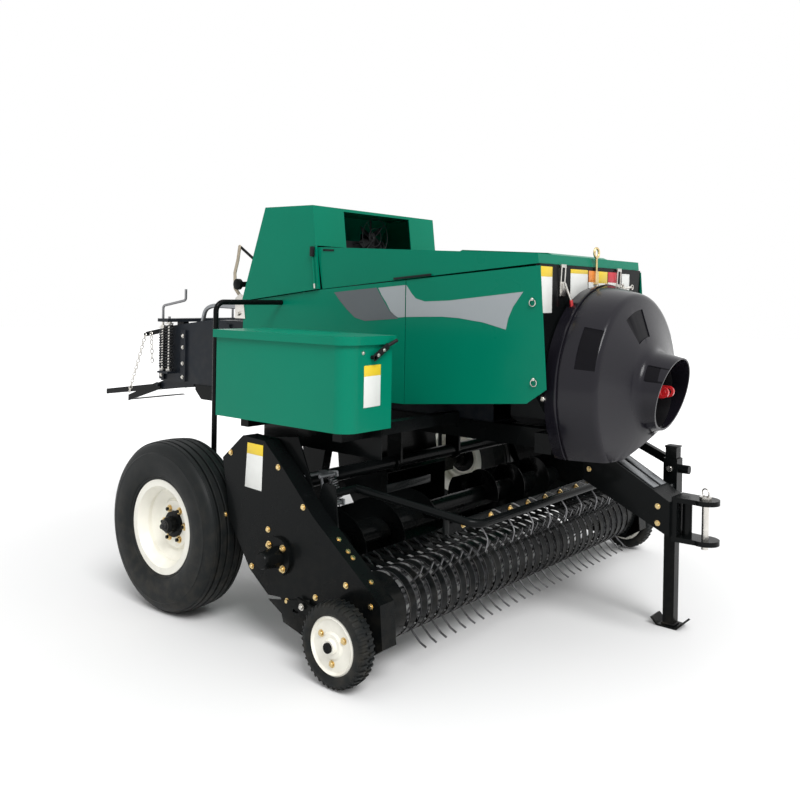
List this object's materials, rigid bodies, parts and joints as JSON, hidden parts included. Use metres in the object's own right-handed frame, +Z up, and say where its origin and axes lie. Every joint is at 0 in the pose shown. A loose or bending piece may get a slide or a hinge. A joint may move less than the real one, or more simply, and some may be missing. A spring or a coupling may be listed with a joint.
{
  "type": "square baler",
  "caption": "Towed in-line square baler: wide tined pickup with gauge wheels, hooded body with side twine boxes, round flywheel cover, bale chamber and drop chute behind.",
  "frame": {"origin": "on the ground under the middle of the overall length and width", "axes": "+X towards the tractor, +Y to the machine's left, +Z up"},
  "size_m": [4.831, 2.5402, 1.892],
  "materials": {
    "green_paint": "gloss",
    "black_paint": "gloss",
    "cream_paint": "gloss",
    "chamber_paint": "satin",
    "red_paint": "gloss",
    "zinc_steel": "satin",
    "spring_steel": "satin",
    "cast_iron": "matte",
    "grey_plastic": "gloss",
    "black_plastic": "matte",
    "tyre": "matte"
  },
  "bodies": {
    "chassis": {"main_axle": "black_paint", "main_frame": "black_paint", "frame_hangers": "black_paint", "tongue": "black_paint", "hitch_clevis": "black_paint", "hitch_pin": "zinc_steel", "parking_jack": "black_paint", "bale_chamber": "chamber_paint", "top_rails": "chamber_paint", "tension_gear": "zinc_steel", "side_panel_r": "green_paint", "side_panel_l": "green_paint", "bulkheads": "black_paint", "flywheel_cover": "grey_plastic", "gearbox": "cast_iron", "feed_housing": "black_paint", "knotter_stack": "cast_iron", "twine_box_r": "green_paint", "twine_box_l": "green_paint", "hoop_tubes": "black_paint"},
    "wheel_r": {"tyre_r": "tyre", "wheel_rim_r": "cream_paint", "wheel_hub_r": "black_paint"},
    "wheel_l": {"tyre_l": "tyre", "wheel_rim_l": "cream_paint", "wheel_hub_l": "black_paint"},
    "pickup": {"pickup_frame": "black_paint", "shield_r": "black_paint", "shield_l": "black_paint", "trough": "black_paint", "stripper_bands": "black_paint", "windguard": "black_paint", "gauge_arms": "black_paint"},
    "gauge_wheel_r": {"gauge_tyre_r": "tyre", "gauge_disc_r": "cream_paint"},
    "gauge_wheel_l": {"gauge_tyre_l": "tyre", "gauge_disc_l": "cream_paint"},
    "reel": {"tine_reel": "spring_steel"},
    "auger": {"auger": "black_paint"},
    "drive": {"flywheel": "cast_iron", "drive_yoke": "red_paint"},
    "fan": {"knotter_fan": "black_plastic"},
    "front_hood": {"front_hood": "green_paint"},
    "knotter_hood": {"knotter_hood": "green_paint"},
    "lid_r": {"box_lid_r": "green_paint"},
    "lid_l": {"box_lid_l": "green_paint"},
    "chute": {"bale_chute": "black_paint"}
  },
  "joints": [
    {"name": "wheel_r_spin", "type": "hinge", "parent": "chassis", "child": "wheel_r", "pos_m": [0.3445, -1.118, 0.385], "axis": [0, 1, 0], "continuous": true},
    {"name": "wheel_l_spin", "type": "hinge", "parent": "chassis", "child": "wheel_l", "pos_m": [0.3445, 1.118, 0.385], "axis": [0, 1, 0], "continuous": true},
    {"name": "pickup_lift", "type": "hinge", "parent": "chassis", "child": "pickup", "pos_m": [0.9045, 0, 0.622], "axis": [0, -1, 0], "range_deg": [0, 12]},
    {"name": "gauge_r_spin", "type": "hinge", "parent": "pickup", "child": "gauge_wheel_r", "pos_m": [1.4535, -1.213, 0.16], "axis": [0, 1, 0], "continuous": true},
    {"name": "gauge_l_spin", "type": "hinge", "parent": "pickup", "child": "gauge_wheel_l", "pos_m": [1.4535, 1.213, 0.16], "axis": [0, 1, 0], "continuous": true},
    {"name": "reel_spin", "type": "hinge", "parent": "pickup", "child": "reel", "pos_m": [1.4495, 0, 0.238], "axis": [0, 1, 0], "continuous": true},
    {"name": "auger_spin", "type": "hinge", "parent": "pickup", "child": "auger", "pos_m": [1.0515, 0, 0.385], "axis": [0, 1, 0], "continuous": true},
    {"name": "drive_spin", "type": "hinge", "parent": "chassis", "child": "drive", "pos_m": [1.9145, 0, 1.057], "axis": [1, 0, 0], "continuous": true},
    {"name": "fan_spin", "type": "hinge", "parent": "chassis", "child": "fan", "pos_m": [0.4445, 0.066, 1.762], "axis": [1, 0, 0], "continuous": true},
    {"name": "front_hood_lift", "type": "hinge", "parent": "chassis", "child": "front_hood", "pos_m": [0.5795, 0, 1.67], "axis": [0, -1, 0], "range_deg": [0, 50]},
    {"name": "knotter_hood_tilt", "type": "hinge", "parent": "chassis", "child": "knotter_hood", "pos_m": [0.0145, 0, 1.395], "axis": [0, -1, 0], "range_deg": [0, 70]},
    {"name": "lid_r_lift", "type": "hinge", "parent": "chassis", "child": "lid_r", "pos_m": [1.0085, -0.852, 1.25], "axis": [-1, 0, 0], "range_deg": [0, 80]},
    {"name": "lid_l_lift", "type": "hinge", "parent": "chassis", "child": "lid_l", "pos_m": [1.0085, 0.852, 1.25], "axis": [1, 0, 0], "range_deg": [0, 80]},
    {"name": "chute_fold", "type": "hinge", "parent": "chassis", "child": "chute", "pos_m": [-1.1075, 0, 0.842], "axis": [0, 1, 0], "range_deg": [0, 75]}
  ]
}
